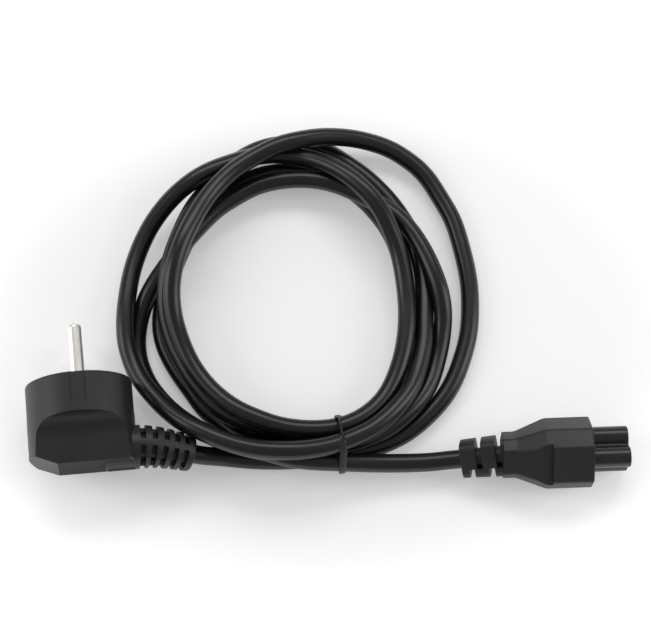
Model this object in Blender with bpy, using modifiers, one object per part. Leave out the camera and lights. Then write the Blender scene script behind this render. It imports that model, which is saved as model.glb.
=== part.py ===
"""Mains power cord: an angled earthed two-pin plug and a three-way appliance connector on a coiled cord.

Metres, +Z up. The cord lies on a level floor at Z = 0: the plug rests on the side of its collar with its
pins along +Y, the connector rests on one of its lower chamfers with its nose along +X, and the cord
between them lies in a loose coil of five turns, which a tie binds at the front.
The origin is under the middle of the box around the plug and the connector.
"""
import math

import bmesh
import bpy
from mathutils import Matrix, Vector

# Clearance between pieces that touch on the real cord
GAP = 0.0003

# Points around the round shapes, and degrees between the points of the slots' round floors
COLLAR_POINTS = 64
PIN_POINTS = 32
ROUND_POINTS = 24
CONTACT_POINTS = 20
FLOOR_STEP = 12.0

# Edges that turn by more than these angles are rounded: on the bodies, and at the reliefs' and nose's ends
BODY_EDGE_ANGLE = 20.0
RIM_ANGLE = 60.0
SHARP_ANGLE = 35.0

# Cord
CORD_DIAMETER = 0.0066

# Plug, lying on the side of its round collar and rolled a little toward its cord; the middle of its
# front face is its place
PLUG_PLACE = (-0.0857, -0.0329)
PLUG_TURN = 6.3
PLUG_ROLL = 5.5
PLUG_DIAMETER = 0.0370
PLUG_DEPTH = 0.0295
PLUG_EDGE_ROUND = 0.0008
COLLAR_DEPTH = 0.0140
GRIP_THICKNESS = 0.0204
GRIP_REAR_THICKNESS = 0.0180
GRIP_SWEEP = 0.0075
REAR_SLANT_BACK = 0.0042
REAR_SLANT_SIDE = 0.0098
CORD_SIDE_FLAT = 0.0012
PIN_SPACING = 0.0190
PIN_DIAMETER = 0.0048
PIN_LENGTH = 0.0190
PIN_SEAT_DEPTH = 0.0080
PIN_TIP_ROUND = 0.0014
GUIDE_WIDTH = 0.0056
GUIDE_LENGTH = 0.0105
GUIDE_DEPTH = 0.0012
CLIP_WIDTH = 0.0040
CLIP_LENGTH = 0.0115
CLIP_THICKNESS = 0.0008
CLIP_BULGE = 0.0009
CLIP_RECESS_DEPTH = 0.0022
EARTH_HOLE_DIAMETER = 0.0050
EARTH_HOLE_OFFSET = 0.0100
EARTH_LIP = 0.0015
EARTH_SLEEVE_LENGTH = 0.0090
EARTH_SLEEVE_WALL = 0.0006

# Strain relief of the plug, which bends toward the floor; its middle line is inset from the rear face
PLUG_BOOT_INSET = 0.0057
PLUG_BOOT_ROOTED = 0.0038
PLUG_BOOT_LENGTH = 0.0203
PLUG_BOOT_ROOT_DIAMETER = 0.0154
PLUG_BOOT_END_DIAMETER = 0.0126
PLUG_BOOT_CORE_DIAMETER = 0.0088
PLUG_BOOT_WEB = 0.0022
PLUG_BOOT_SLOTS = 5
PLUG_BOOT_FIRST_SLOT = 0.0019
PLUG_BOOT_SLOT = 0.0019
PLUG_BOOT_PITCH = 0.0035
PLUG_BOOT_SWING = -12.0
PLUG_BOOT_DROOP = -18.0

# Connector, rolled onto a lower chamfer; the middle of its nose's root is its place
CONNECTOR_PLACE = (0.0920, -0.0538)
CONNECTOR_TURN = 2.0
CONNECTOR_ROLL = 38.0
BODY_LENGTH = 0.0311
BODY_STRAIGHT = 0.0160
BODY_TAPER = 0.0105
BODY_WIDTH = 0.0226
BODY_TOP = 0.0126
BODY_TOP_WIDTH = 0.0131
BODY_SHOULDER = 0.0070
BODY_SIDE_FOOT = -0.0033
BODY_BASE = -0.0080
BODY_EDGE_ROUND = 0.0008
NECK_SCALE = 0.66
GRIP_PANEL_SUNK = 0.0014
GRIP_PANEL_START = 0.0142
NOSE_LENGTH = 0.0129
NOSE_ROOTED = 0.0024
NOSE_EDGE_ROUND = 0.0005
LOBE_RADIUS = 0.0037
LOBE_SPACING = 0.0091
EARTH_LOBE_RISE = 0.0066
WIDE_VALLEY_RADIUS = 0.0050
NARROW_VALLEY_RADIUS = 0.0008
CONTACT_HOLE_DIAMETER = 0.0028
CONTACT_LIP = 0.0020
CONTACT_SLEEVE_LENGTH = 0.0090
CONTACT_SLEEVE_WALL = 0.0005

# Strain relief of the connector, cut by slots from alternate sides
CONNECTOR_BOOT_LENGTH = 0.0139
CONNECTOR_BOOT_WIDTH = 0.0139
CONNECTOR_BOOT_HEIGHT = 0.0094
CONNECTOR_BOOT_TAPER = 0.92
CONNECTOR_BOOT_SQUARENESS = 4.0
CONNECTOR_BOOT_ROOTED = 0.0042
CONNECTOR_BOOT_RISE = 0.0023
CONNECTOR_BOOT_DROOP = 14.0
CONNECTOR_BOOT_CORE_DIAMETER = 0.0068
CONNECTOR_BOOT_SLOT = 0.0021
CONNECTOR_BOOT_SLOT_LINE = -0.0026
CONNECTOR_BOOT_SLOTS = ((-0.0007, 1), (0.0023, -1), (0.0063, 1), (0.0093, -1))

# Coil: its middle, and at each turn in degrees, counterclockwise from +X, inner radius, outer radius, height
COIL_MIDDLE = (-0.0110, 0.0010)
COIL_STATIONS = (
    (0.0, 0.0370, 0.0664, 0.0127),
    (30.0, 0.0395, 0.0694, 0.0138),
    (60.0, 0.0435, 0.0721, 0.0162),
    (90.0, 0.0447, 0.0650, 0.0165),
    (120.0, 0.0433, 0.0615, 0.0180),
    (150.0, 0.0415, 0.0632, 0.0200),
    (180.0, 0.0402, 0.0641, 0.0192),
    (210.0, 0.0402, 0.0647, 0.0172),
    (232.0, 0.0417, 0.0610, 0.0172),
    (250.0, 0.0430, 0.0566, 0.0175),
    (270.0, 0.0442, 0.0606, 0.0172),
    (288.0, 0.0457, 0.0625, 0.0158),
    (300.0, 0.0455, 0.0636, 0.0145),
    (330.0, 0.0403, 0.0663, 0.0127),
)
COIL_SQUARENESS = 3.0
COIL_AROUND = 72
COIL_SECTION = 16

# Tie, a flat strip around the coil, with its ends twisted together
TIE_ANGLE = -72.5
TIE_LEAN = 5.0
TIE_WIDTH = 0.0027
TIE_THICKNESS = 0.0007
TIE_SPREAD = 0.0120
TIE_AROUND = 40
TIE_TWIST_TILT = 33.5
TIE_TWIST_LENGTH = 0.0036
TIE_TWIST_SWELL = 0.0011
TIE_TWIST_DIAMETER = 0.0020
TIE_TWIST_ROOT_DIAMETER = 0.0014
TIE_TWIST_END_DIAMETER = 0.0012

# Stretches of cord between the coil and the two strain reliefs, as points along their middle line
PLUG_END_ROUTE = ((-0.0403, -0.0556, 0.0075), (-0.0350, -0.0561, 0.0054), (-0.0290, -0.0563, 0.0038))
CONNECTOR_END_ROUTE = ((0.0205, -0.0578, 0.0066), (0.0290, -0.0578, 0.0063), (0.0380, -0.0575, 0.0071))
ROUTE_STEP = 0.0040

COLORS = {
    "pvc": ((0.016, 0.016, 0.017, 1.0), 0.42, 0.0),
    "cord": ((0.013, 0.013, 0.014, 1.0), 0.36, 0.0),
    "nickel": ((0.62, 0.58, 0.50, 1.0), 0.24, 1.0),
    "tie": ((0.020, 0.020, 0.021, 1.0), 0.48, 0.0),
}


def clear_scene():
    for item in list(bpy.data.objects):
        bpy.data.objects.remove(item, do_unlink=True)


def new_collection(name):
    collection = bpy.data.collections.new(name)
    bpy.context.scene.collection.children.link(collection)
    return collection


def material(name):
    found = bpy.data.materials.get(name)
    if found:
        return found
    color, roughness, metallic = COLORS[name]
    made = bpy.data.materials.new(name)
    made.use_nodes = True
    shader = made.node_tree.nodes["Principled BSDF"]
    shader.inputs["Base Color"].default_value = color
    shader.inputs["Roughness"].default_value = roughness
    shader.inputs["Metallic"].default_value = metallic
    return made


clear_scene()
PART = new_collection("power_cord")
CUTTERS = new_collection("cutters")


def put(name, bm, parent=None, finish=None):
    """Object from a bmesh: a piece of the part where it has a finish, and otherwise a cutter."""
    bmesh.ops.recalc_face_normals(bm, faces=bm.faces)
    mesh = bpy.data.meshes.new(name)
    bm.to_mesh(mesh)
    bm.free()
    made = bpy.data.objects.new(name, mesh)
    made.parent = parent
    if finish:
        PART.objects.link(made)
        mesh.materials.append(material(finish))
        mesh.shade_smooth()
        mesh.set_sharp_from_angle(angle=math.radians(SHARP_ANGLE))
    else:
        CUTTERS.objects.link(made)
        made.hide_render = True
        made.display_type = "WIRE"
    return made


def frame(name, place, height, turn, roll_x=0.0, roll_y=0.0):
    """Empty that carries the pieces of one moulding."""
    made = bpy.data.objects.new(name, None)
    PART.objects.link(made)
    made.parent = ROOT
    made.location = (*place, height)
    made.rotation_euler = (math.radians(roll_x), math.radians(roll_y), math.radians(turn))
    return made


def boolean(target, other, operation="DIFFERENCE"):
    step = target.modifiers.new(other.name, "BOOLEAN")
    step.object = other
    step.operation = operation
    step.solver = "EXACT"


def round_edges(target, width, angle=BODY_EDGE_ANGLE):
    step = target.modifiers.new("round_edges", "BEVEL")
    step.width = width
    step.segments = 2
    step.limit_method = "ANGLE"
    step.angle_limit = math.radians(angle)


def cylinder(radius, length, segments):
    """Closed cylinder along +X from the origin."""
    bm = bmesh.new()
    lie = Matrix.Rotation(math.radians(90.0), 4, "Y") @ Matrix.Translation((0.0, 0.0, length / 2))
    size = {"radius1": radius, "radius2": radius, "depth": length}
    bmesh.ops.create_cone(bm, cap_ends=True, segments=segments, matrix=lie, **size)
    return bm


def box(x0, x1, y0, y1, z0, z1):
    bm = bmesh.new()
    middle = Matrix.Translation(((x0 + x1) / 2, (y0 + y1) / 2, (z0 + z1) / 2))
    bmesh.ops.create_cube(bm, size=1.0, matrix=middle @ Matrix.Diagonal((x1 - x0, y1 - y0, z1 - z0, 1.0)))
    return bm


def loft(sections, closed=False):
    """Solid through sections of equal point count, capped at both ends unless it closes on itself."""
    bm = bmesh.new()
    rings = [[bm.verts.new(point) for point in section] for section in sections]
    pairs = list(zip(rings, rings[1:]))
    if closed:
        pairs.append((rings[-1], rings[0]))
    count = len(rings[0])
    for one, two in pairs:
        for i in range(count):
            j = (i + 1) % count
            bm.faces.new((one[i], one[j], two[j], two[i]))
    if not closed:
        bm.faces.new(rings[0])
        bm.faces.new(reversed(rings[-1]))
    return bm


def prism(outline, start, end, axis):
    """Prism along an axis of an outline drawn in the other two axes."""
    places = {
        "X": lambda p, s: (s, p[0], p[1]),
        "Y": lambda p, s: (p[0], s, p[1]),
        "Z": lambda p, s: (p[0], p[1], s),
    }
    return loft([[places[axis](point, s) for point in outline] for s in (start, end)])


def turned(profile, segments=ROUND_POINTS):
    """Solid turned about the X axis from a closed profile of (x, radius) points."""
    turns = [2.0 * math.pi * i / segments for i in range(segments)]
    return loft([[(x, r * math.cos(t), r * math.sin(t)) for x, r in profile] for t in turns], closed=True)


def turned_rod(profile, segments=ROUND_POINTS):
    """Solid turned about the X axis from (x, radius) points, closed by a disc at each end."""
    turns = [2.0 * math.pi * i / segments for i in range(segments)]
    return loft([[(x, r * math.cos(t), r * math.sin(t)) for t in turns] for x, r in profile])


def arc(radius, start, end, steps, middle=(0.0, 0.0)):
    """Points on a circle, angles in degrees."""
    turns = [math.radians(start + (end - start) * i / steps) for i in range(steps + 1)]
    return [(middle[0] + radius * math.cos(t), middle[1] + radius * math.sin(t)) for t in turns]


def moved(bm, matrix):
    bmesh.ops.transform(bm, matrix=matrix, verts=bm.verts)
    return bm


def joined(pieces):
    """One bmesh that holds several, which don't touch."""
    whole = bmesh.new()
    for piece in pieces:
        held = bpy.data.meshes.new("piece")
        piece.to_mesh(held)
        piece.free()
        whole.from_mesh(held)
        bpy.data.meshes.remove(held)
    return whole


def pose(place, direction, side):
    """Matrix whose X axis is the direction, and whose Y axis is as near as can be to the side given."""
    x = Vector(direction).normalized()
    z = x.cross(Vector(side)).normalized()
    y = z.cross(x)
    turn = Matrix((x, y, z)).transposed().to_4x4()
    return Matrix.Translation(Vector(place)) @ turn


def slot_outline(side, line, core, reach):
    """Section of a slot: all that lies past a line on one side, apart from the round core."""
    rise = math.sqrt(core**2 - line**2)
    corner = math.degrees(math.atan2(rise, line))
    first = -corner if side > 0 else 360.0 - corner
    bend = arc(core, first, corner, round(abs(corner - first) / FLOOR_STEP))
    return [(line, -reach), *bend, (line, reach), (side * reach, reach), (side * reach, -reach)]


def along_y(bm):
    """Turns a piece made along +X so that it runs along +Y."""
    return moved(bm, Matrix.Rotation(math.radians(90.0), 4, "Z"))


ROOT = bpy.data.objects.new("power_cord_origin", None)
PART.objects.link(ROOT)

# The plug's own frame: the middle of its front face, pins along +Y, pin line along Z, cord along +X
PLUG_RADIUS = PLUG_DIAMETER / 2
PLUG = frame("plug_frame", PLUG_PLACE, PLUG_RADIUS, PLUG_TURN, roll_y=PLUG_ROLL)
PIN_HEIGHTS = (PIN_SPACING / 2, -PIN_SPACING / 2)


def plug_plan():
    """Plan of the plug's body, wider than its collar apart from the slanted corner and the cord's side."""
    half = PLUG_RADIUS + GAP
    slant = PLUG_RADIUS - REAR_SLANT_SIDE
    flat = PLUG_RADIUS - CORD_SIDE_FLAT
    start = -COLLAR_DEPTH - GRIP_SWEEP
    outline = [
        (-half, GAP),
        (-half, -PLUG_DEPTH + REAR_SLANT_BACK),
        (-slant, -PLUG_DEPTH),
        (flat, -PLUG_DEPTH),
        (flat, start),
        (half, -COLLAR_DEPTH),
        (half, GAP),
    ]
    return put("plug_plan", prism(outline, -PLUG_DIAMETER, PLUG_DIAMETER, "Z"), PLUG)


def finger_grips():
    """Hollows behind the collar, above and below: a sloping floor that sweeps up to the collar's rim."""
    floor = GRIP_THICKNESS / 2
    length = PLUG_DEPTH - COLLAR_DEPTH - GRIP_SWEEP
    slope = (GRIP_THICKNESS - GRIP_REAR_THICKNESS) / 2 / length
    rise = PLUG_RADIUS - floor
    steps = 8
    turns = [math.radians(90.0 * i / steps) for i in range(steps + 1)]
    sweep = [(GRIP_SWEEP * math.sin(t), rise * (1.0 - math.cos(t))) for t in turns]
    sweep = [(y - COLLAR_DEPTH - GRIP_SWEEP, z + floor) for y, z in sweep]
    back = -PLUG_DIAMETER
    low = floor + slope * (back + COLLAR_DEPTH + GRIP_SWEEP)
    outline = [(back, low), *sweep, (-COLLAR_DEPTH, PLUG_DIAMETER), (back, PLUG_DIAMETER)]
    cuts = []
    for side in (1, -1):
        cuts.append(prism([(y, z * side) for y, z in outline], -PLUG_DIAMETER, PLUG_DIAMETER, "X"))
    return put("finger_grips", joined(cuts), PLUG)


def boot_path():
    """Place and direction at each small step along the plug's strain relief, from inside the body."""
    steps = 32
    place = Vector((PLUG_RADIUS - CORD_SIDE_FLAT, PLUG_BOOT_INSET - PLUG_DEPTH, 0.0))
    path = [(place - Vector((PLUG_BOOT_ROOTED, 0.0, 0.0)), Vector((1.0, 0.0, 0.0)))]
    for i in range(steps + 1):
        share = i / steps
        swing = math.radians(PLUG_BOOT_SWING) * min(1.0, 2.0 * share)
        droop = math.radians(PLUG_BOOT_DROOP) * math.sin(math.pi * 0.5 * share)
        flat = math.cos(droop)
        direction = Vector((flat * math.cos(swing), flat * math.sin(swing), math.sin(droop)))
        path.append((place, direction))
        place = place + direction * (PLUG_BOOT_LENGTH / steps)
    return path


BOOT_PATH = boot_path()


def boot_pose(distance):
    """Matrix at a distance along the plug's strain relief, X along it and Z upward."""
    index = 1 + distance / PLUG_BOOT_LENGTH * (len(BOOT_PATH) - 2)
    low = max(0, min(len(BOOT_PATH) - 2, int(index)))
    place = BOOT_PATH[low][0].lerp(BOOT_PATH[low + 1][0], index - low)
    direction = BOOT_PATH[low][1].lerp(BOOT_PATH[low + 1][1], index - low)
    return pose(place, direction, (0.0, 1.0, 0.0))


def plug_boot():
    """Tapered round strain relief along its bend."""
    last = 360.0 - 360.0 / ROUND_POINTS
    sections = []
    steps = 12
    for i in range(-1, steps + 1):
        share = max(0.0, i / steps)
        radius = (PLUG_BOOT_ROOT_DIAMETER * (1.0 - share) + PLUG_BOOT_END_DIAMETER * share) / 2
        place = boot_pose(PLUG_BOOT_LENGTH * i / steps)
        ring = arc(radius, 0.0, last, ROUND_POINTS - 1)
        sections.append([place @ Vector((0.0, y, z)) for y, z in ring])
    made = put("plug_boot", loft(sections), PLUG)
    round_edges(made, PLUG_EDGE_ROUND, RIM_ANGLE)
    return made


def plug_boot_slots():
    """Slots in pairs, one at each side of the web that runs along the top and bottom."""
    reach = PLUG_BOOT_ROOT_DIAMETER
    cuts = []
    for i in range(PLUG_BOOT_SLOTS):
        middle = PLUG_BOOT_FIRST_SLOT + PLUG_BOOT_SLOT / 2 + PLUG_BOOT_PITCH * i
        for side in (1, -1):
            outline = slot_outline(side, side * PLUG_BOOT_WEB / 2, PLUG_BOOT_CORE_DIAMETER / 2, reach)
            cut = prism(outline, -PLUG_BOOT_SLOT / 2, PLUG_BOOT_SLOT / 2, "X")
            cuts.append(moved(cut, boot_pose(middle)))
    return put("plug_boot_slots", joined(cuts), PLUG)


def pin_seats():
    """Holes in the front face that hold the pins."""
    cuts = []
    for height in PIN_HEIGHTS:
        cut = along_y(cylinder(PIN_DIAMETER / 2 + GAP, PIN_SEAT_DEPTH + 2.0 * GAP, PIN_POINTS))
        cuts.append(moved(cut, Matrix.Translation((0.0, -PIN_SEAT_DEPTH - GAP, height))))
    return put("pin_seats", joined(cuts), PLUG)


def guide_grooves():
    """Grooves in the collar's sides in line with the pins."""
    low = PLUG_RADIUS - GUIDE_DEPTH
    cuts = []
    for side in (1, -1):
        heights = sorted((side * low, side * PLUG_DIAMETER))
        cuts.append(box(-GUIDE_WIDTH / 2, GUIDE_WIDTH / 2, -GUIDE_LENGTH, GAP, *heights))
    return put("guide_grooves", joined(cuts), PLUG)


def clip_recesses():
    """Recesses in the collar's left and right sides, open to the front, for the earth clips."""
    half = CLIP_WIDTH / 2 + GAP
    floor = PLUG_RADIUS - CLIP_RECESS_DEPTH
    cuts = []
    for side in (1, -1):
        sides = sorted((side * floor, side * PLUG_DIAMETER))
        cuts.append(box(*sides, -CLIP_LENGTH - 2.0 * GAP, GAP, -half, half))
    return put("clip_recesses", joined(cuts), PLUG)


def socket_profile(hole, lip, sleeve_length, sleeve_wall):
    """Profile of a hole behind a lip, with a chamber behind it for a contact sleeve."""
    narrow = hole / 2
    wide = narrow + sleeve_wall + GAP
    end = -lip - sleeve_length - 2.0 * GAP
    return [(GAP, narrow), (-lip, narrow), (-lip, wide), (end, wide)]


def sleeve_profile(hole, lip, sleeve_length, sleeve_wall):
    """Profile of the sleeve in such a chamber."""
    start = -lip - GAP
    inner = hole / 2
    outer = inner + sleeve_wall
    return [(start, inner), (start, outer), (start - sleeve_length, outer), (start - sleeve_length, inner)]


EARTH_SOCKET = (EARTH_HOLE_DIAMETER, EARTH_LIP, EARTH_SLEEVE_LENGTH, EARTH_SLEEVE_WALL)
EARTH_SOCKET_PLACE = Matrix.Translation((-EARTH_HOLE_OFFSET, 0.0, 0.0))


def earth_hole():
    cut = along_y(turned_rod(socket_profile(*EARTH_SOCKET)))
    return put("earth_hole", moved(cut, EARTH_SOCKET_PLACE), PLUG)


def plug_body():
    bm = along_y(cylinder(PLUG_RADIUS, PLUG_DEPTH, COLLAR_POINTS))
    body = put("plug_body", moved(bm, Matrix.Translation((0.0, -PLUG_DEPTH, 0.0))), PLUG, "pvc")
    round_edges(body, PLUG_EDGE_ROUND)
    boolean(body, plug_plan(), "INTERSECT")
    boolean(body, finger_grips())
    boolean(body, plug_boot(), "UNION")
    boolean(body, plug_boot_slots())
    boolean(body, pin_seats())
    boolean(body, guide_grooves())
    boolean(body, clip_recesses())
    boolean(body, earth_hole())


def plug_pin(name, height):
    """Round pin with a rounded tip, seated in the front face."""
    radius = PIN_DIAMETER / 2
    steps = 4
    tip = arc(PIN_TIP_ROUND, 0.0, 90.0, steps, (radius - PIN_TIP_ROUND, PIN_LENGTH - PIN_TIP_ROUND))
    profile = [(-PIN_SEAT_DEPTH, radius), *[(x, r) for r, x in tip]]
    bm = along_y(turned_rod(profile, PIN_POINTS))
    put(name, moved(bm, Matrix.Translation((0.0, 0.0, height))), PLUG, "nickel")


def earth_clip(name, side):
    """Sprung contact strip in the collar's side, bowed outward between its ends."""
    inner = PLUG_RADIUS - CLIP_RECESS_DEPTH + GAP
    steps = 8
    bow = [(i / steps, CLIP_BULGE * math.sin(math.pi * i / steps)) for i in range(steps + 1)]
    near = [(inner + rise, -GAP - CLIP_LENGTH * share) for share, rise in bow]
    far = [(x + CLIP_THICKNESS, y) for x, y in reversed(near)]
    outline = [(side * x, y) for x, y in near + far]
    put(name, prism(outline, -CLIP_WIDTH / 2, CLIP_WIDTH / 2, "Z"), PLUG, "nickel")


def plug_earth_socket():
    bm = along_y(turned(sleeve_profile(*EARTH_SOCKET)))
    put("plug_earth_socket", moved(bm, EARTH_SOCKET_PLACE), PLUG, "nickel")


# The connector's own frame: the middle of the line of its two live lobes where the nose leaves the body,
# nose along +X, lobe line along Y, earth lobe toward +Z. It is rolled onto the chamfer beside its base.
BODY_HALF = BODY_WIDTH / 2
ROLL = math.radians(CONNECTOR_ROLL)
CONNECTOR_HEIGHT = BODY_HALF * math.sin(ROLL) - BODY_SIDE_FOOT * math.cos(ROLL)
CONNECTOR = frame("connector_frame", CONNECTOR_PLACE, CONNECTOR_HEIGHT, CONNECTOR_TURN, roll_x=CONNECTOR_ROLL)
LOBES = ((LOBE_SPACING / 2, 0.0), (-LOBE_SPACING / 2, 0.0), (0.0, EARTH_LOBE_RISE))
CONTACT = (CONTACT_HOLE_DIAMETER, CONTACT_LIP, CONTACT_SLEEVE_LENGTH, CONTACT_SLEEVE_WALL)


def body_section(x, scale):
    """Eight-sided section of the connector, scaled about the line that the cord leaves along."""
    foot = BODY_HALF - (BODY_SIDE_FOOT - BODY_BASE) / math.tan(ROLL)
    side = [(BODY_HALF, BODY_SIDE_FOOT), (BODY_HALF, BODY_SHOULDER)]
    right = [(foot, BODY_BASE), *side, (BODY_TOP_WIDTH / 2, BODY_TOP)]
    corners = right + [(-y, z) for y, z in reversed(right)]
    return [(x, y * scale, CONNECTOR_BOOT_RISE + (z - CONNECTOR_BOOT_RISE) * scale) for y, z in corners]


def valley(one, two, radius):
    """Hollow arc between two lobes, from the first to the second, bulging toward the nose's middle."""
    span = Vector(two) - Vector(one)
    outward = Vector((span.y, -span.x)).normalized()
    reach = math.sqrt((LOBE_RADIUS + radius) ** 2 - (span.length / 2) ** 2)
    middle = (Vector(one) + Vector(two)) / 2 + outward * reach
    start = Vector(one) - middle
    end = Vector(two) - middle
    first = math.degrees(math.atan2(start.y, start.x))
    sweep = math.degrees(start.angle(end))
    steps = 6
    return arc(radius, first, first - sweep, steps, middle)


def nose_outline():
    """Three round lobes joined by hollow valleys, counterclockwise."""
    earth, left, right = LOBES[2], LOBES[1], LOBES[0]
    narrow, wide = NARROW_VALLEY_RADIUS, WIDE_VALLEY_RADIUS
    corners = ((earth, left, narrow), (left, right, wide), (right, earth, narrow))
    hollows = [valley(*corner) for corner in corners]
    outline = []
    steps = 12
    for i, (_, lobe, _) in enumerate(corners):
        outline += hollows[i]
        arrive = Vector(hollows[i][-1]) - Vector(lobe)
        leave = Vector(hollows[(i + 1) % 3][0]) - Vector(lobe)
        first = math.degrees(math.atan2(arrive.y, arrive.x))
        last = math.degrees(math.atan2(leave.y, leave.x))
        while last < first:
            last += 360.0
        outline += arc(LOBE_RADIUS, first, last, steps, lobe)[1:-1]
    return outline


def nose():
    made = put("nose", prism(nose_outline(), -NOSE_ROOTED, NOSE_LENGTH, "X"), CONNECTOR)
    round_edges(made, NOSE_EDGE_ROUND, RIM_ANGLE)
    return made


def connector_boot_pose():
    """Matrix of the connector's strain relief: X away from the body and a little toward the floor."""
    droop = math.radians(CONNECTOR_BOOT_DROOP)
    down = Vector((0.0, -math.sin(ROLL), -math.cos(ROLL)))
    direction = Vector((-math.cos(droop), 0.0, 0.0)) + down * math.sin(droop)
    return pose((-BODY_LENGTH, 0.0, CONNECTOR_BOOT_RISE), direction, (0.0, 1.0, 0.0))


def connector_boot():
    """Tapered strain relief with a round-cornered section."""
    power = 2.0 / CONNECTOR_BOOT_SQUARENESS
    stations = ((-CONNECTOR_BOOT_ROOTED, 1.0), (0.0, 1.0), (CONNECTOR_BOOT_LENGTH, CONNECTOR_BOOT_TAPER))
    sections = []
    for x, scale in stations:
        ring = []
        for i in range(ROUND_POINTS):
            turn = 2.0 * math.pi * i / ROUND_POINTS
            c, s = math.cos(turn), math.sin(turn)
            y = math.copysign(abs(c) ** power, c) * CONNECTOR_BOOT_WIDTH / 2 * scale
            z = math.copysign(abs(s) ** power, s) * CONNECTOR_BOOT_HEIGHT / 2 * scale
            ring.append((x, y, z))
        sections.append(ring)
    made = put("connector_boot", moved(loft(sections), connector_boot_pose()), CONNECTOR)
    round_edges(made, NOSE_EDGE_ROUND, RIM_ANGLE)
    return made


def connector_boot_slots():
    """Slots from alternate sides, each leaving the core and a bridge at the far side."""
    cuts = []
    for start, side in CONNECTOR_BOOT_SLOTS:
        core = CONNECTOR_BOOT_CORE_DIAMETER / 2
        outline = slot_outline(side, CONNECTOR_BOOT_SLOT_LINE, core, CONNECTOR_BOOT_WIDTH)
        cut = prism(outline, start, start + CONNECTOR_BOOT_SLOT, "X")
        cuts.append(moved(cut, connector_boot_pose()))
    return put("connector_boot_slots", joined(cuts), CONNECTOR)


def grip_panel():
    """Sunk flat on the upper face behind the connector's head."""
    half = BODY_WIDTH
    cut = box(-2.0 * BODY_LENGTH, -GRIP_PANEL_START, -half, half, BODY_TOP - GRIP_PANEL_SUNK, 2.0 * BODY_TOP)
    return put("grip_panel", cut, CONNECTOR)


def contact_holes():
    cuts = []
    for y, z in LOBES:
        cut = turned_rod(socket_profile(*CONTACT), CONTACT_POINTS)
        cuts.append(moved(cut, Matrix.Translation((NOSE_LENGTH, y, z))))
    return put("contact_holes", joined(cuts), CONNECTOR)


def connector_body():
    taper_end = -BODY_STRAIGHT - BODY_TAPER
    stations = ((0.0, 1.0), (-BODY_STRAIGHT, 1.0), (taper_end, NECK_SCALE), (-BODY_LENGTH, NECK_SCALE))
    body = put("connector_body", loft([body_section(x, scale) for x, scale in stations]), CONNECTOR, "pvc")
    round_edges(body, BODY_EDGE_ROUND)
    boolean(body, connector_boot(), "UNION")
    boolean(body, connector_boot_slots())
    boolean(body, grip_panel())
    boolean(body, nose(), "UNION")
    boolean(body, contact_holes())


def connector_contact(name, lobe):
    bm = turned(sleeve_profile(*CONTACT), CONTACT_POINTS)
    put(name, moved(bm, Matrix.Translation((NOSE_LENGTH, *lobe))), CONNECTOR, "nickel")


def coil_value(column, turn):
    """Smooth value of one column of the coil's stations at a turn in degrees."""
    turns = [station[0] for station in COIL_STATIONS]
    values = [station[column] for station in COIL_STATIONS]
    turns = [turns[-1] - 360.0, *turns, turns[0] + 360.0, turns[1] + 360.0]
    values = [values[-1], *values, values[0], values[1]]
    turn = turn % 360.0
    i = max(k for k in range(1, len(turns) - 2) if turns[k] <= turn)
    step = turns[i + 1] - turns[i]
    t = (turn - turns[i]) / step
    leave = (values[i + 1] - values[i - 1]) / (turns[i + 1] - turns[i - 1]) * step
    arrive = (values[i + 2] - values[i]) / (turns[i + 2] - turns[i]) * step
    ends = values[i] * (2 * t**3 - 3 * t**2 + 1) + values[i + 1] * (3 * t**2 - 2 * t**3)
    return ends + leave * (t**3 - 2 * t**2 + t) + arrive * (t**3 - t**2)


def coil_station(turn):
    """Middle radius, half width, middle height and half height of the coil at a turn in degrees."""
    inner, outer, height = (coil_value(column, turn) for column in (1, 2, 3))
    apart = math.radians((turn - TIE_ANGLE + 180.0) % 360.0 - 180.0) * inner
    base = (TIE_THICKNESS + 2.0 * GAP) * math.exp(-((apart / TIE_SPREAD) ** 2))
    return (inner + outer) / 2, (outer - inner) / 2, (base + height) / 2, (height - base) / 2


def cord_coil():
    """Outer shape of the coil's five turns, a ring whose width and height change around it."""
    power = 2.0 / COIL_SQUARENESS
    sections = []
    for k in range(COIL_AROUND):
        turn = 360.0 * k / COIL_AROUND
        middle, half_width, level, half_height = coil_station(turn)
        section = []
        for i in range(COIL_SECTION):
            t = 2.0 * math.pi * (i + 0.5) / COIL_SECTION
            c, s = math.cos(t), math.sin(t)
            radius = middle + half_width * math.copysign(abs(c) ** power, c)
            height = level + half_height * math.copysign(abs(s) ** power, s)
            x = COIL_MIDDLE[0] + radius * math.cos(math.radians(turn))
            y = COIL_MIDDLE[1] + radius * math.sin(math.radians(turn))
            section.append((x, y, height))
        sections.append(section)
    put("cord_coil", loft(sections, closed=True), ROOT, "cord")


def coil_depth(point):
    """One on the coil's surface, less inside it and more outside it."""
    x, y = point.x - COIL_MIDDLE[0], point.y - COIL_MIDDLE[1]
    middle, half_width, level, half_height = coil_station(math.degrees(math.atan2(y, x)))
    across = abs(math.hypot(x, y) - middle) / half_width
    up = abs(point.z - level) / half_height
    return (across**COIL_SQUARENESS + up**COIL_SQUARENESS) ** (1.0 / COIL_SQUARENESS)


def coil_surface(start, direction):
    """Point where a ray from inside the coil meets its surface."""
    near, far = 0.0, max(station[2] for station in COIL_STATIONS)
    halvings = 40
    for _ in range(halvings):
        middle = (near + far) / 2
        if coil_depth(start + direction * middle) < 1.0:
            near = middle
        else:
            far = middle
    return start + direction * near


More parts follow.
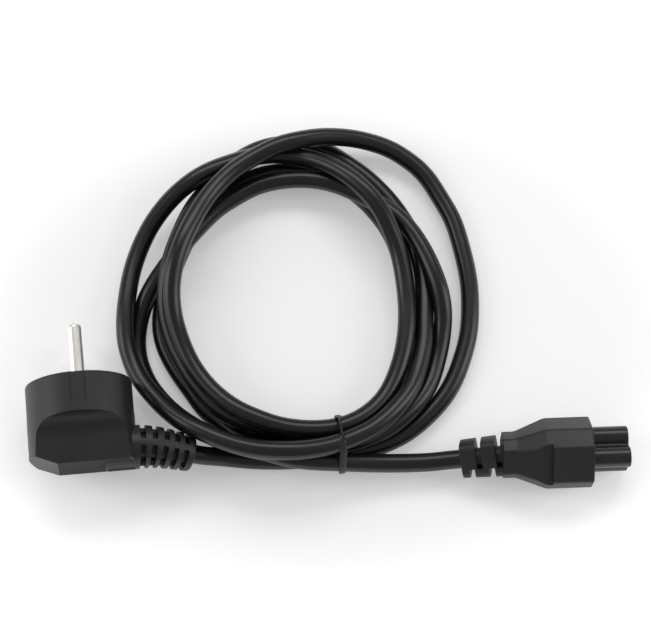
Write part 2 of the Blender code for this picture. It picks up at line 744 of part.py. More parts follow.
def tie():
    """Strip around the coil in a plane across it, closed on itself, with a short twist at its inner top."""
    turn = math.radians(TIE_ANGLE)
    middle, _, level, _ = coil_station(TIE_ANGLE)
    start = Vector((*COIL_MIDDLE, level)) + Vector((math.cos(turn), math.sin(turn), 0.0)) * middle
    lean = math.radians(TIE_LEAN)
    across = Vector((math.sin(lean), -math.cos(lean), 0.0))
    along = Vector((math.cos(lean), math.sin(lean), 0.0))
    up = Vector((0.0, 0.0, 1.0))
    sections = []
    for i in range(TIE_AROUND):
        t = 2.0 * math.pi * i / TIE_AROUND
        outward = across * math.cos(t) + up * math.sin(t)
        section = []
        for side, lift in ((-1, GAP), (1, GAP), (1, GAP + TIE_THICKNESS), (-1, GAP + TIE_THICKNESS)):
            foot = coil_surface(start + along * side * TIE_WIDTH / 2, outward)
            section.append(foot + outward * lift)
        sections.append(section)
    strip = put("tie", loft(sections, closed=True), ROOT, "tie")
    tilt = math.radians(TIE_TWIST_TILT)
    outward = up * math.sin(tilt) - across * math.cos(tilt)
    foot = coil_surface(start, outward) + outward * (GAP + TIE_THICKNESS / 2)
    root = (0.0, TIE_TWIST_ROOT_DIAMETER / 2)
    swell = (TIE_TWIST_SWELL, TIE_TWIST_DIAMETER / 2)
    end = (TIE_TWIST_LENGTH, TIE_TWIST_END_DIAMETER / 2)
    twist = moved(turned_rod([root, swell, end]), pose(foot, outward, along))
    boolean(strip, put("tie_twist", twist, ROOT), "UNION")


def smooth_route(points, step):
    """Evenly spaced points on a smooth curve through the points given."""
    knots = [Vector(point) for point in points]
    knots = [knots[0] * 2 - knots[1], *knots, knots[-1] * 2 - knots[-2]]
    fine = []
    steps = 24
    for a, b, c, d in zip(knots, knots[1:], knots[2:], knots[3:]):
        for i in range(steps):
            t = i / steps
            bend = (2 * a - 5 * b + 4 * c - d) * t**2 + (3 * b - a - 3 * c + d) * t**3
            fine.append((2 * b + (c - a) * t + bend) / 2)
    fine.append(knots[-2])
    length = sum((two - one).length for one, two in zip(fine, fine[1:]))
    count = max(2, round(length / step))
    return [fine[round(i * (len(fine) - 1) / count)] for i in range(count + 1)]


def cord_stretch(name, points):
    """Cord as a round tube with flat ends along a smooth curve through the points."""
    route = smooth_route(points, ROUTE_STEP)
    curve = bpy.data.curves.new(name, "CURVE")
    curve.dimensions = "3D"
    curve.bevel_depth = CORD_DIAMETER / 2
    curve.bevel_resolution = 3
    curve.use_fill_caps = True
    spline = curve.splines.new("POLY")
    spline.points.add(len(route) - 1)
    for place, point in zip(spline.points, route):
        place.co = (*point, 1.0)
    curve.materials.append(material("cord"))
    made = bpy.data.objects.new(name, curve)
    made.parent = ROOT
    PART.objects.link(made)


def lead_out(carrier, place, direction):
    """Two points in the root's frame that lead the cord straight out of a strain relief's end."""
    bpy.context.view_layer.update()
    whole = ROOT.matrix_world.inverted() @ carrier.matrix_world
    return [whole @ (Vector(place) + Vector(direction).normalized() * far) for far in (GAP, ROUTE_STEP)]


def cord_ends():
    """The cord from the plug's strain relief to the coil, and from the coil to the connector's."""
    cord_stretch("cord_plug_end", [*lead_out(PLUG, *BOOT_PATH[-1]), *PLUG_END_ROUTE])
    boot = connector_boot_pose()
    direction = boot.to_3x3() @ Vector((1.0, 0.0, 0.0))
    near, far = lead_out(CONNECTOR, boot @ Vector((CONNECTOR_BOOT_LENGTH, 0.0, 0.0)), direction)
    cord_stretch("cord_connector_end", [*CONNECTOR_END_ROUTE, far, near])


def centre_origin():
    """Moves everything so that the origin is under the middle of the plug and the connector."""
    bpy.context.view_layer.update()
    graph = bpy.context.evaluated_depsgraph_get()
    corners = []
    for item in PART.objects:
        if item.parent in (PLUG, CONNECTOR) and item.type == "MESH":
            shape = item.evaluated_get(graph)
            corners += [shape.matrix_world @ vert.co for vert in shape.data.vertices]
    low = [min(corner[k] for corner in corners) for k in range(2)]
    high = [max(corner[k] for corner in corners) for k in range(2)]
    ROOT.location = (-(low[0] + high[0]) / 2, -(low[1] + high[1]) / 2, 0.0)


plug_body()
plug_pin("plug_pin_upper", PIN_HEIGHTS[0])
plug_pin("plug_pin_lower", PIN_HEIGHTS[1])
earth_clip("plug_earth_clip_left", -1)
earth_clip("plug_earth_clip_right", 1)
plug_earth_socket()
connector_body()
connector_contact("connector_contact_line", LOBES[0])
connector_contact("connector_contact_neutral", LOBES[1])
connector_contact("connector_contact_earth", LOBES[2])
cord_coil()
cord_ends()
tie()
centre_origin()
bpy.context.view_layer.update()
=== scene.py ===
"""Looks of a black mains power cord that lies in a loose tied coil on a white studio table."""
import math

import bpy
import numpy as np
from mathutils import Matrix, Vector


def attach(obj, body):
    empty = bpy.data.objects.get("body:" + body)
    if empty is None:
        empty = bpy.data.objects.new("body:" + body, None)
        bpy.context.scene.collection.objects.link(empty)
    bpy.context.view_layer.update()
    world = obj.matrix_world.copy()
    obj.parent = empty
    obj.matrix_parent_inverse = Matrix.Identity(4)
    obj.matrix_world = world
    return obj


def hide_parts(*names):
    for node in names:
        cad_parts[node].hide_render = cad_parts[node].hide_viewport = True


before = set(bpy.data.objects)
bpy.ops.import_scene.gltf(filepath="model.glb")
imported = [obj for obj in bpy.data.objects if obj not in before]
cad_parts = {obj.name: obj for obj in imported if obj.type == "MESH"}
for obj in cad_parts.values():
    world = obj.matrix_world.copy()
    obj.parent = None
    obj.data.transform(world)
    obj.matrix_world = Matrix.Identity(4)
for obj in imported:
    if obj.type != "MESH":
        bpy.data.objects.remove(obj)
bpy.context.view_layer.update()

# Studio camera
# The cord is photographed from in front and above, by a camera that looks down at the table about
# 18 degrees off vertical, through a long lens a little over half a metre away.
PICTURE = (651, 621)
FOCAL_PIXELS = 1794.0
CAMERA_TILT = math.radians(17.6)
CAMERA_DISTANCE = 0.650
LOOKED_AT = Vector((-0.000577, 0.040655, 0.0))
SENSOR_WIDTH = 36.0

eye = LOOKED_AT + CAMERA_DISTANCE * Vector((0.0, -math.sin(CAMERA_TILT), math.cos(CAMERA_TILT)))
lens = bpy.data.cameras.new("studio_camera")
lens.sensor_width = SENSOR_WIDTH
lens.lens = FOCAL_PIXELS / PICTURE[0] * SENSOR_WIDTH
lens.clip_start = 0.01
lens.clip_end = 10.0
camera = bpy.data.objects.new("studio_camera", lens)
bpy.context.scene.collection.objects.link(camera)
camera.location = eye
camera.rotation_euler = (CAMERA_TILT, 0.0, 0.0)
bpy.context.scene.camera = camera

# Free cord
# Three-core mains cord with a smooth round sheath of black PVC, extruded over its wires. It comes out of the
# plug's strain relief, runs five times round the loose coil, and goes into that of the connector.
CORD_DIAMETER = 0.0066
CORD_STEP = 0.0026
CORD_ROUNDNESS = 7
# The two ends are points in metres, where the cord leaves the strain reliefs. Between them the turns are
# given as the picture shows them: pixels across, pixels down, and about how many millimetres up.
PLUG_EXIT = ((-0.04699, -0.01494, 0.01095), (-0.04439, -0.0152, 0.00991))
CONNECTOR_EXIT = ((0.04467, -0.01618, 0.00748), (0.04662, -0.01612, 0.00793))
FIRST_TURN = (
    (210, 455, 8.8), (220, 456.2, 7.4), (240, 457.9, 5.2), (260, 458.9, 3.8), (280, 459.5, 3.3),
    (300, 459.3, 3.3), (320, 458.2, 3.3), (340, 455.8, 3.3), (362, 451.2, 3.3), (382, 444.9, 3.3),
    (405.5, 433.4, 3.3), (423.9, 418.7, 3.3), (442.5, 399, 3.3), (455, 378, 3.3), (465, 349, 3.3),
    (469, 329, 3.3), (470, 305, 3.3), (468.5, 280, 3.5), (462, 250, 4), (453, 221, 5),
    (443.5, 203.8, 6), (424.5, 174.5, 7), (406, 159.2, 9), (387, 147.9, 11), (358.8, 139.6, 13),
    (339.5, 137.2, 15), (320, 137, 16), (300, 140, 16), (280, 144.6, 16), (261.5, 153.2, 16),
    (240, 165.5, 16), (225.8, 176.6, 16.5), (206.7, 197, 17.5), (189.8, 225, 20), (178.7, 250, 22),
    (172.5, 275, 21.5), (171.5, 300, 18.5), (175.6, 324.8, 16.5), (186, 353.6, 15),
)
SECOND_TURN = (
    (197.9, 374.1, 13), (214.2, 392.6, 12.5), (235.6, 408.6, 12), (256.8, 418.2, 11.5),
    (277.8, 425.5, 11), (299.3, 428.8, 10), (320, 429.4, 9.9), (342.5, 426.4, 9.9), (364.9, 415.8, 9.9),
    (386, 396, 9.9), (400.3, 364.2, 9.9), (406.1, 335.5, 9.9), (407.1, 310, 9.9), (405.5, 289, 9.9),
    (400.3, 257.9, 10.5), (390, 228.2, 12), (376.1, 202.2, 13.5), (354.7, 180.7, 13.5),
    (335.9, 168.6, 12.5), (320, 161.8, 11.5), (300, 156.7, 10.5), (280, 154.3, 10), (262, 155, 10),
    (242.3, 159.6, 10), (222.8, 165.9, 10), (203.9, 174, 10), (185.4, 186.5, 10), (166.4, 204.6, 10),
    (147.6, 231.9, 10), (133.3, 267.2, 10), (127, 300.8, 10), (125.4, 320, 10), (125.7, 335, 10),
    (127.3, 347, 10),
)
THIRD_TURN = (
    (135.8, 371.6, 11.5), (146.3, 387.3, 13.3), (160, 403, 15.2), (176, 417.5, 17),
    (195.7, 428.5, 18.6), (217.4, 438, 19.7), (240, 445.5, 20.1), (260, 449.2, 20.1),
    (280, 450.4, 19.5), (300, 450.3, 18), (320, 447.7, 17), (335, 444.2, 16), (355, 437, 15),
    (375, 427, 14), (396.5, 407.7, 12.5), (412.6, 384.1, 9.5), (422.4, 351.8, 7), (424.8, 339.5, 6),
    (425, 310, 3.5), (424.5, 300.5, 3.3), (423.5, 286, 3.3), (419.8, 264, 3.3), (412.1, 240.2, 3.3),
    (402.7, 222.3, 3.3), (383.6, 195.6, 3.3), (364.3, 176.3, 3.3), (345.5, 163.1, 3.3),
    (331.5, 154.2, 3.3), (315, 147.5, 3.3), (298, 145, 3.3), (279.5, 144.5, 3.3), (262.3, 148.1, 3.3),
    (253.4, 151.7, 3.3), (244, 156.9, 3.3), (225, 172, 3.3), (203.3, 194.6, 5), (187.6, 218.7, 11),
    (173, 252.8, 15.5), (167.4, 276.3, 15), (165.5, 295, 12.5),
)
FOURTH_TURN = (
    (166.5, 315, 10.5), (172, 338, 10), (180.5, 358, 8.5), (195, 383, 5), (207, 398, 3.5),
    (220, 410, 3.3), (240, 422, 3.3), (257, 429.5, 3.3), (265, 432.3, 3.3), (285, 436, 3.3),
    (305, 436.5, 3.3), (325, 433.5, 3.3), (345, 427, 3.3), (365, 416, 3.3), (385, 398, 3.3),
    (399.5, 368, 3.3), (407, 336, 3.3), (408.5, 310, 3.3), (407, 285, 3.3), (402, 258, 3.3),
    (391.5, 231, 3.3), (374.5, 209.5, 3.3), (351, 190, 3.3), (327, 179.3, 3.3), (300, 173.8, 3.3),
    (280, 172.3, 3.3), (263, 175, 3.3), (245, 182, 3.3), (226, 194, 3.3), (208, 210, 3.3),
    (192, 231, 3.3), (178, 258, 3.3), (168, 285, 3.3), (161.5, 312, 3.3), (162.3, 337.7, 3.3),
)
FIFTH_TURN = (
    (169.3, 356.5, 3.3), (180.1, 375.2, 3.5), (194.4, 394.8, 5), (206.8, 412, 7), (224.8, 425, 8.5),
    (240.2, 437.2, 8.2), (254, 444, 7.4), (275, 447.8, 8), (300, 448.6, 8.5), (325, 447, 8.3),
    (350, 442.5, 8.2), (368, 437, 8.2), (382.4, 431, 8), (395.5, 423.1, 7.5), (407.7, 412.3, 7),
    (415.2, 406.2, 6.5), (421.3, 396.7, 6), (426.7, 388.7, 4.5), (431.1, 380, 3.5), (437, 359.2, 3.3),
    (440.5, 340, 3.3), (442, 320, 3.3), (441.6, 305.3, 3.5), (436.8, 282, 5), (422.8, 249.4, 8),
    (403.5, 222.4, 9.9), (385.3, 208, 8.5), (370, 199.5, 7), (353.4, 191.5, 7), (340, 185.5, 8.5),
    (320, 180.3, 9.9), (300, 179, 9.9), (280, 180.5, 9.9), (258, 185.5, 9.9), (243, 193, 9.9),
    (229, 201, 9.9), (214.6, 210.5, 9.9), (193.9, 231.3, 9.9), (183.8, 243.5, 9.5), (172, 259, 9),
    (161.7, 273.5, 8), (152.3, 288.1, 5.5), (144.7, 303.3, 3.8), (139.5, 320, 3.3), (137.2, 335, 3.3),
    (137.2, 350, 3.3), (139.8, 363, 3.3), (146, 379, 3.3), (153.5, 391, 3.3), (168, 407.5, 4.2),
    (184, 420.5, 6.5), (203, 432, 9.6), (222.5, 440.5, 12), (240, 446, 13.4), (255, 449.4, 13.4),
    (268, 451.6, 13), (278.2, 454.6, 12.4), (287.5, 457.3, 11.6), (297, 459, 11.4), (320, 460.9, 11),
    (340, 461.7, 10.4), (360, 462.7, 9.6), (380, 463.2, 8.6), (400, 463.2, 7.6), (420, 462.6, 6.9),
    (440, 461.6, 6.9),
)


def on_picture(u, v, height):
    """Point at a height above the table that the camera sees at pixel (u, v) of the picture."""
    across = (u - PICTURE[0] / 2) / FOCAL_PIXELS
    up = (PICTURE[1] / 2 - v) / FOCAL_PIXELS
    cos, sin = math.cos(CAMERA_TILT), math.sin(CAMERA_TILT)
    ray = Vector((across, sin + up * cos, up * sin - cos))
    return eye + ray * ((height - eye.z) / ray.z)


SMOOTH_PARTS = 12


def smooth_line(knots, step):
    """Evenly spaced points on a smooth curve through the knots."""
    ends = [knots[0] * 2 - knots[1], *knots, knots[-1] * 2 - knots[-2]]
    fine = []
    for a, b, c, d in zip(ends, ends[1:], ends[2:], ends[3:]):
        for part in range(SMOOTH_PARTS):
            t = part / SMOOTH_PARTS
            fine.append(0.5 * (2 * b + (c - a) * t + (2 * a - 5 * b + 4 * c - d) * t**2
                               + (3 * b - a - 3 * c + d) * t**3))
    fine.append(knots[-1])
    fine = np.array(fine)
    along = np.concatenate([[0.0], np.cumsum(np.linalg.norm(np.diff(fine, axis=0), axis=1))])
    places = np.linspace(0.0, along[-1], round(along[-1] / step) + 1)
    return np.stack([np.interp(places, along, fine[:, k]) for k in range(3)], axis=1)


# What carries the cord besides the table: the tie's strip where it passes under all the turns, and the end
# of the plug's strain relief, over which one strand lies.
TIE_LIFT = 0.0009
TIE_MIDDLE = 0.0050
TIE_REACH = 0.0100
RELIEF_LIFT = 0.0143
RELIEF_MIDDLE = (-0.0460, -0.0080)
RELIEF_REACH = (0.0120, 0.0060)
OVER_RELIEF = 0.0130


def resting_height(line):
    """Lowest height that the cord's middle line can have at each of its points."""
    x, y, z = line.T
    at_tie = np.exp(-((x - TIE_MIDDLE) / TIE_REACH) ** 2) * (y < 0.0)
    along = (x - RELIEF_MIDDLE[0]) / RELIEF_REACH[0]
    across = (y - RELIEF_MIDDLE[1]) / RELIEF_REACH[1]
    at_relief = np.exp(-along**2 - across**2) * (z > OVER_RELIEF)
    return CORD_DIAMETER / 2 + TIE_LIFT * at_tie + RELIEF_LIFT * at_relief


# How the turns settle. Points closer than OWN_REACH spacings along the cord are the same strand and don't
# push each other. A push is mostly upward or downward and is spread over PUSH_POINTS points to each side.
# The shares after it are how much of each push, pull or easing is done in one round.
STRAND_GAP = 0.0001
SETTLING_ROUNDS = 1200
OWN_REACH = 2.5
SEARCH_REACH = 1.5
SEARCH_EVERY = 25
PUSH_WAY = (0.35, 0.35, 1.0)
PUSH_POINTS = 7
PUSH_GAIN = 3.0
TABLE_PUSH = 0.5
WEIGHT = 0.000004
PICTURE_PULL = 0.05
HELD_POINTS = 4
BEND_RADIUS = 0.0310
EVENING = 0.15
EASING = 0.3
LEVELLING = 0.1
TINY = 1e-9


def settled(line, spacing):
    """The line with its turns laid on the table and on each other, where the camera sees them."""
    line = line.copy()
    ray = (line - np.array(eye)) / (line - np.array(eye))[:, 2:3]
    count = len(line)
    apart_along = np.abs(np.subtract.outer(np.arange(count), np.arange(count))) * CORD_STEP
    sharpest = CORD_STEP**2 / (2 * BEND_RADIUS)
    spread = np.hanning(2 * PUSH_POINTS + 1)
    spread *= PUSH_GAIN / spread.sum()
    for number in range(SETTLING_ROUNDS):
        # turns that would run through each other are pushed apart, mostly up and down
        if number % SEARCH_EVERY == 0:
            span = np.linalg.norm(line[:, None] - line[None], axis=2)
            near = (apart_along > OWN_REACH * spacing) & (span < SEARCH_REACH * spacing)
            one, two = np.nonzero(np.triu(near))
        push = np.zeros_like(line)
        hits = np.ones(count)
        gap = line[one] - line[two]
        apart = np.linalg.norm(gap, axis=1)
        close = apart < spacing
        a, b, gap, apart = one[close], two[close], gap[close], apart[close]
        way = gap * np.array(PUSH_WAY)
        way /= np.maximum(np.linalg.norm(way, axis=1, keepdims=True), TINY)
        share = (0.5 * (spacing - apart))[:, None] * way
        np.add.at(push, a, share)
        np.add.at(push, b, -share)
        np.add.at(hits, a, 1)
        np.add.at(hits, b, 1)
        push /= hits[:, None]
        push[:, 2] += TABLE_PUSH * np.maximum(resting_height(line) - line[:, 2], 0.0)
        # the stiff cord gives way over a length, its weight brings it down, the picture keeps it in place
        push = np.stack([np.convolve(push[:, k], spread, "same") for k in range(3)], axis=1)
        push[:, 2] -= WEIGHT
        seen = np.array(eye) + ray * (line[:, 2:3] - eye.z)
        push[:, :2] += PICTURE_PULL * (seen - line)[:, :2]
        line[HELD_POINTS:-HELD_POINTS] += push[HELD_POINTS:-HELD_POINTS]
        # its stiffness evens out the bends, and eases those that are sharper than the bend radius
        sag = (line[:-2] + line[2:]) / 2 - line[1:-1]
        even = sag[1:-1] - (sag[:-2] + sag[2:]) / 2
        tight = np.clip(1.0 - sharpest / np.maximum(np.linalg.norm(sag, axis=1), TINY), 0.0, 1.0)
        line[2:-2] += EVENING * even + EASING * tight[1:-1, None] * sag[1:-1]
        line[2:-2, 2] += LEVELLING * sag[1:-1, 2]
    line[:, 2] = np.maximum(line[:, 2], resting_height(line))
    return line


def round_tube(name, line, radius, roundness):
    """Curve object of a round tube with closed ends along a line of points."""
    curve = bpy.data.curves.new(name, "CURVE")
    curve.dimensions = "3D"
    curve.bevel_depth = radius
    curve.bevel_resolution = roundness
    curve.use_fill_caps = True
    run = curve.splines.new("POLY")
    run.points.add(len(line) - 1)
    for place, point in zip(run.points, line):
        place.co = (*point, 1.0)
    run.use_smooth = True
    tube = bpy.data.objects.new(name, curve)
    bpy.context.scene.collection.objects.link(tube)
    return tube


knots = [Vector(point) for point in PLUG_EXIT]
for turn in (FIRST_TURN, SECOND_TURN, THIRD_TURN, FOURTH_TURN, FIFTH_TURN):
    knots += [on_picture(across, down, up / 1000) for across, down, up in turn]
knots += [Vector(point) for point in CONNECTOR_EXIT]
cord_line = smooth_line([np.array(knot) for knot in knots], CORD_STEP)
cord_line = settled(cord_line, CORD_DIAMETER + STRAND_GAP)
free_cord = round_tube("free_cord", cord_line, CORD_DIAMETER / 2, CORD_ROUNDNESS)


class Value:
    """A node's output that adds the Math nodes it needs when it is reckoned with."""

    def __init__(self, finish, socket):
        self.finish = finish
        self.socket = socket

    def __add__(self, other):
        return self.finish.node("ShaderNodeMath", {"operation": "ADD"}, {0: self, 1: other})

    __radd__ = __add__

    def __mul__(self, other):
        return self.finish.node("ShaderNodeMath", {"operation": "MULTIPLY"}, {0: self, 1: other})

    __rmul__ = __mul__


class Finish:
    """A material and the nodes that it is made of."""

    def __init__(self, name, color, metallic=0.0):
        self.material = bpy.data.materials.new(name)
        self.material.use_nodes = True
        self.tree = self.material.node_tree
        self.shader = self.tree.nodes["Principled BSDF"]
        self.color = color
        self.set(self.shader, {"Metallic": metallic})

    def set(self, node, sockets):
        """Gives the sockets of a node their values or links."""
        for name, value in sockets.items():
            socket = node.inputs[name]
            if isinstance(value, Value):
                self.tree.links.new(value.socket, socket)
            else:
                socket.default_value = value

    def node(self, kind, settings, sockets, out=0):
        """Adds a node, and returns one of its outputs."""
        made = self.tree.nodes.new(kind)
        for name, value in settings.items():
            setattr(made, name, value)
        self.set(made, sockets)
        return Value(self, made.outputs[out])

    def place(self):
        """Object coordinates of the piece, in metres."""
        return self.node("ShaderNodeTexCoord", {}, {}, "Object")

    def noise(self, scale, detail, roughness=0.5):
        sockets = {"Vector": self.place(), "Scale": scale, "Detail": detail, "Roughness": roughness}
        return self.node("ShaderNodeTexNoise", {}, sockets)

    def mix(self, share, one, two):
        """Colour that goes from one to two with the share: 6 and 7 are the colour inputs, 2 the output."""
        sockets = {0: share, 6: (*one, 1.0), 7: (*two, 1.0)}
        return self.node("ShaderNodeMix", {"data_type": "RGBA"}, sockets, 2)

    def mottle(self, share, swing):
        """Lets the colour swing a little to both sides of what it is on average."""
        darker = [part - swing for part in self.color]
        lighter = [part + swing for part in self.color]
        self.set(self.shader, {"Base Color": self.mix(share, darker, lighter)})

    def rough(self, roughness):
        self.set(self.shader, {"Roughness": roughness})

    def bump(self, height, distance):
        lifted = self.node("ShaderNodeBump", {}, {"Height": height, "Distance": distance, "Strength": 1.0})
        self.set(self.shader, {"Normal": lifted})


sheath = Finish("black_pvc_sheath", (0.008, 0.008, 0.009))
grain = sheath.noise(900.0, 3.0)
waves = sheath.noise(120.0, 1.0)
sheath.mottle(waves, 0.002)
sheath.rough(0.27 + 0.06 * grain)
sheath.bump(grain * 0.4 + waves * 0.6, 0.00003)
free_cord.data.materials.append(sheath.material)
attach(free_cord, "root")
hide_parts("cord_coil", "cord_plug_end", "cord_connector_end")

# Plug and connector mouldings
# Soft black PVC, shot round the ends of the cord, the pins and the contacts in one go. Each moulding is
# one piece with its slotted strain relief, and has a fine matt texture from the mould.
MERGE_WITHIN = 0.00001
FLAT_WITHIN = math.radians(0.5)
EDGE_ANGLE = math.radians(35.0)
EDGE_ROUNDING = 0.00025
EDGE_STEPS = 3

moulding = Finish("moulded_black_pvc", (0.014, 0.014, 0.0145))
pores = moulding.noise(2200.0, 3.0, 0.6)
patches = moulding.noise(60.0, 2.0)
moulding.mottle(patches, 0.002)
moulding.rough(0.36 + 0.16 * patches)
moulding.bump(pores, 0.00005)


def choose(piece):
    """Selects one piece alone, for the operators that follow."""
    bpy.ops.object.select_all(action="DESELECT")
    bpy.context.view_layer.objects.active = piece
    piece.select_set(True)


def soft_copy(name, new_name):
    """Copy of a CAD piece made one skin, with its edges rounded as the mould leaves them."""
    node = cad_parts[name]
    piece = bpy.data.objects.new(new_name, node.data.copy())
    piece.data.transform(node.matrix_world)
    bpy.context.scene.collection.objects.link(piece)
    choose(piece)
    bpy.ops.object.mode_set(mode="EDIT")
    bpy.ops.mesh.select_all(action="SELECT")
    bpy.ops.mesh.remove_doubles(threshold=MERGE_WITHIN)
    bpy.ops.mesh.dissolve_limited(angle_limit=FLAT_WITHIN)
    bpy.ops.mesh.normals_make_consistent(inside=False)
    bpy.ops.object.mode_set(mode="OBJECT")
    rounding = piece.modifiers.new("rounding", "BEVEL")
    rounding.width = EDGE_ROUNDING
    rounding.segments = EDGE_STEPS
    rounding.limit_method = "ANGLE"
    rounding.angle_limit = EDGE_ANGLE
    bpy.ops.object.modifier_apply(modifier="rounding")
    bpy.ops.object.shade_smooth_by_angle(angle=EDGE_ANGLE)
    even = piece.modifiers.new("even_shading", "WEIGHTED_NORMAL")
    even.keep_sharp = True
    bpy.ops.object.modifier_apply(modifier="even_shading")
    piece.data.materials.clear()
    piece.data.materials.append(moulding.material)
    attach(piece, "root")
    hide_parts(name)
    return piece


plug_moulding = soft_copy("plug_body", "plug_moulding")
connector_moulding = soft_copy("connector_body", "connector_moulding")

# Two bars moulded along the sides of the plug's strain relief join its rings, a little inside their rims.
RELIEF_LINE = ((-0.0650, -0.0139, 0.0167), (-0.0570, -0.0139, 0.0149), (-0.0485, -0.0147, 0.0116))
RELIEF_STEP = 0.0010
RELIEF_RADII = (0.0076, 0.0064)
BAR_RADIUS = 0.0012
BAR_INSET = 0.0020
BAR_ROUNDNESS = 3

relief_line = smooth_line([np.array(point) for point in RELIEF_LINE], RELIEF_STEP)
bar_reach = np.linspace(*RELIEF_RADII, len(relief_line)) - BAR_INSET
for side in (1.0, -1.0):
    bar_line = relief_line + np.outer(side * bar_reach, (0.0, 1.0, 0.0))
    bar = round_tube("relief_bar", bar_line, BAR_RADIUS, BAR_ROUNDNESS)
    choose(bar)
    bpy.ops.object.convert(target="MESH")
    bar.data.materials.append(moulding.material)
    bpy.ops.object.shade_smooth_by_angle(angle=EDGE_ANGLE)
    plug_moulding.select_set(True)
    bpy.context.view_layer.objects.active = plug_moulding
    bpy.ops.object.join()

# The flat back of the plug gets a darker, less glossy and rougher copy of the moulding: painted shade for
# the back wall, which faces the camera and stands in the plug's own shadow on the table.
FACING_BACK = -0.98
BACK_END = -0.066

back_painted_shade = Finish("painted_shade_black_pvc", (0.010, 0.010, 0.0105))
back_painted_shade.set(back_painted_shade.shader, {"Specular IOR Level": 0.2})
pits = back_painted_shade.noise(1600.0, 3.0, 0.6)
back_painted_shade.mottle(pits, 0.002)
back_painted_shade.rough(0.56 + 0.12 * pits)
back_painted_shade.bump(pits, 0.00006)
plug_moulding.data.materials.append(back_painted_shade.material)
# Painted shade: the back faces of the plug take the darker, less glossy copy of the moulding.
for face in plug_moulding.data.polygons:
    if face.normal.y < FACING_BACK and face.center.x < BACK_END:
        face.material_index = 1

# The nose comes out of a polished part of the mould, so it is smoother than the body behind it.
NOSE_ROOT = 0.0921

polished = Finish("polished_black_pvc", (0.016, 0.016, 0.0165))
haze = polished.noise(400.0, 2.0)
polished.mottle(haze, 0.002)
polished.rough(0.24 + 0.08 * haze)
polished.bump(haze, 0.00003)
connector_moulding.data.materials.append(polished.material)
for face in connector_moulding.data.polygons:
    face.material_index = int(face.center.x > NOSE_ROOT)

# Pins and contacts
# Round pins turned from brass, and earth clips and contact sleeves stamped from brass sheet, all plated
# with bright nickel. They are set in the mould before the PVC is shot round them.
METAL_PIECES = (
    "plug_pin_upper", "plug_pin_lower", "plug_earth_clip_left", "plug_earth_clip_right",
    "plug_earth_socket", "connector_contact_line", "connector_contact_neutral", "connector_contact_earth",
)

nickel = Finish("nickel_plate", (0.88, 0.85, 0.79), 1.0)
brushed = nickel.noise(700.0, 2.0)
nickel.mottle(brushed, 0.04)
nickel.rough(0.26 + 0.14 * brushed)
for name in METAL_PIECES:
    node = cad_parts[name]
    node.data.materials.clear()
    node.data.materials.append(nickel.material)

# Tie
# One turn of a narrow black PVC strip, with a wire in it, bent round all the strands by hand. It lies flat
# in front, turns on edge over the inner strand and is flat again where it goes down inside the coil. Its
# ends meet underneath, out of sight, so it is drawn as a closed loop.
TIE_WIDTH = 0.0025
TIE_THICKNESS = 0.0008
TIE_STEP = 0.0007
TIE_GAP = 0.00005
TIE_ANGLE = 3.0
TIE_SMOOTHINGS = 3
# The tie passes at pairs of y and x. On the upper side its strip has turned by so many degrees at each y,
# and on the lower side it lies flat.
TIE_PASSES = ((-0.0220, 0.0052), (-0.0165, 0.0057), (-0.0100, 0.0049), (-0.0020, 0.0037))
TIE_TURNS = ((-0.0125, 0.0), (-0.0106, 90.0), (-0.0058, 90.0), (-0.0036, 180.0))
TIE_UPPER_SIDE = 0.009
TIE_INNER_SIDE = -0.008


def tie_place(y):
    """Place along x at which the tie passes."""
    return np.interp(y, *zip(*TIE_PASSES))


def tie_turned(y, z):
    """Degrees that the strip has turned by since the front."""
    if z > TIE_UPPER_SIDE:
        return np.interp(y, *zip(*TIE_TURNS))
    return 180.0 * (y > TIE_INNER_SIDE)


beside = cord_line[:, 0] - tie_place(cord_line[:, 1])
strands = []
for i in range(len(cord_line) - 1):
    if beside[i] * beside[i + 1] <= 0.0 and cord_line[i, 1] < 0.0:
        share = beside[i] / (beside[i] - beside[i + 1])
        strands.append(cord_line[i, 1:] + share * (cord_line[i + 1, 1:] - cord_line[i, 1:]))
strands = np.array(strands)
loop = []
for angle in np.radians(np.arange(0.0, 360.0, TIE_ANGLE)):
    outward = np.array((math.cos(angle), math.sin(angle)))
    outermost = strands[np.argmax(strands @ outward)]
    loop.append(outermost + outward * (CORD_DIAMETER / 2 + TIE_GAP + TIE_THICKNESS / 2))
loop.append(loop[0])
loop = np.array(loop)
along = np.concatenate([[0.0], np.cumsum(np.linalg.norm(np.diff(loop, axis=0), axis=1))])
places = np.linspace(0.0, along[-1], round(along[-1] / TIE_STEP) + 1)[:-1]
loop = np.stack([np.interp(places, along, loop[:, k]) for k in range(2)], axis=1)
for _ in range(TIE_SMOOTHINGS):
    loop = 0.5 * loop + 0.25 * (np.roll(loop, 1, axis=0) + np.roll(loop, -1, axis=0))
loop[:, 1] = np.maximum(loop[:, 1], TIE_THICKNESS / 2 + TIE_GAP)

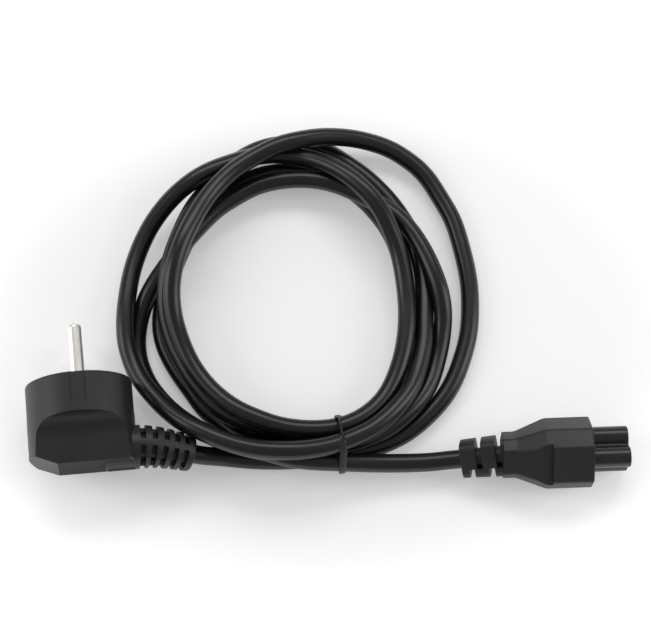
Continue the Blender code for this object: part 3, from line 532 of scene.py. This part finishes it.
bpy.ops.object.select_all(action="DESELECT")
bpy.ops.curve.primitive_nurbs_circle_add(radius=0.5)
tie_section = bpy.context.object
tie_section.scale = (TIE_WIDTH, TIE_THICKNESS, 1.0)
tie_curve = bpy.data.curves.new("twist_tie", "CURVE")
tie_curve.dimensions = "3D"
tie_curve.twist_mode = "MINIMUM"
tie_curve.bevel_mode = "OBJECT"
tie_curve.bevel_object = tie_section
run = tie_curve.splines.new("POLY")
run.points.add(len(loop) - 1)
run.use_cyclic_u = True
run.use_smooth = True
ahead = np.roll(loop, -1, axis=0) - np.roll(loop, 1, axis=0)
for place, (y, z), (forward, rise) in zip(run.points, loop, ahead):
    turned = math.radians(tie_turned(y, z))
    lift = math.sin(turned) * (TIE_WIDTH - TIE_THICKNESS) / 2
    size = math.hypot(forward, rise)
    place.co = (tie_place(y), y + lift * rise / size, z - lift * forward / size, 1.0)
    place.tilt = turned
twist_tie = bpy.data.objects.new("twist_tie", tie_curve)
bpy.context.scene.collection.objects.link(twist_tie)
choose(twist_tie)
bpy.ops.object.convert(target="MESH")
bpy.data.objects.remove(tie_section)

strip = Finish("black_pvc_strip", (0.020, 0.020, 0.020))
fine = strip.noise(1500.0, 2.0)
strip.mottle(fine, 0.004)
strip.rough(0.30 + 0.14 * fine)
strip.bump(fine, 0.00004)
twist_tie.data.materials.clear()
twist_tie.data.materials.append(strip.material)
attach(twist_tie, "root")
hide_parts("tie")

# Studio table and light
# A white paper table that runs out of the picture. Its glow is painted light that lightens the table and the
# shadows on it, and is dimmer under the coil as painted shade. A large soft light hangs above and behind, a
# smaller one at each side, and the room is dim and white all round.
TABLE_SIZE = 6.0
# Painted light and shade on the table: it glows fully away from the coil and less in an oval under it.
PAINTED_SHADE_MIDDLE = (0.0, 0.035, 0.0)
PAINTED_SHADE_STRETCH = (0.70, 1.0, 0.0)
PAINTED_SHADE_RADIUS = 0.070
PAINTED_LIGHT_RADIUS = 0.125
PAINTED_SHADE_GLOW = 0.30
PAINTED_LIGHT_GLOW = 0.62
AIMED_AT = Vector((0.0, 0.03, 0.0))
ROOM_GLOW = 0.3

bpy.ops.object.select_all(action="DESELECT")
bpy.ops.mesh.primitive_plane_add(size=TABLE_SIZE, location=(0.0, 0.0, 0.0))
table = bpy.context.object
table.name = "studio_table"
paper = Finish("white_paper", (0.86, 0.86, 0.865))
fibre = paper.noise(25.0, 4.0)
paper.mottle(fibre, 0.007)
paper.rough(0.66 + 0.08 * fibre)
# The table's emission is painted light, dimmed to painted shade in the oval under the coil.
painted_shade_spot = paper.node("ShaderNodeVectorMath", {"operation": "SUBTRACT"}, {0: paper.place(), 1: PAINTED_SHADE_MIDDLE})
painted_shade_spot = paper.node("ShaderNodeVectorMath", {"operation": "MULTIPLY"}, {0: painted_shade_spot, 1: PAINTED_SHADE_STRETCH})
reach = paper.node("ShaderNodeVectorMath", {"operation": "LENGTH"}, {0: painted_shade_spot}, "Value")
outside_painted_shade = paper.node("ShaderNodeMapRange", {"interpolation_type": "SMOOTHSTEP"},
                     {"Value": reach, "From Min": PAINTED_SHADE_RADIUS, "From Max": PAINTED_LIGHT_RADIUS})
painted_glow = paper.mix(outside_painted_shade, (PAINTED_SHADE_GLOW / PAINTED_LIGHT_GLOW,) * 3, (1.0, 1.0, 1.0))
paper.set(paper.shader, {"Emission Color": painted_glow, "Emission Strength": PAINTED_LIGHT_GLOW})
table.data.materials.append(paper.material)


def soft_light(name, size, power, place):
    """Rectangular soft light that points at the cord."""
    lamp = bpy.data.lights.new(name, "AREA")
    lamp.shape = "RECTANGLE"
    lamp.size, lamp.size_y = size
    lamp.energy = power
    holder = bpy.data.objects.new(name, lamp)
    bpy.context.scene.collection.objects.link(holder)
    holder.location = place
    holder.rotation_euler = (AIMED_AT - Vector(place)).to_track_quat("-Z", "Y").to_euler()


soft_light("top_light", (1.2, 0.45), 5.2, (0.0, 0.80, 1.02))
soft_light("left_light", (0.5, 0.9), 4.0, (-1.1, 0.1, 0.65))
soft_light("right_light", (0.5, 0.9), 4.0, (1.1, 0.1, 0.65))

world = bpy.data.worlds.new("studio_room")
bpy.context.scene.world = world
world.use_nodes = True
background = world.node_tree.nodes["Background"]
background.inputs["Color"].default_value = (1.0, 1.0, 1.0, 1.0)
background.inputs["Strength"].default_value = ROOM_GLOW
bpy.context.scene.view_settings.view_transform = "Standard"
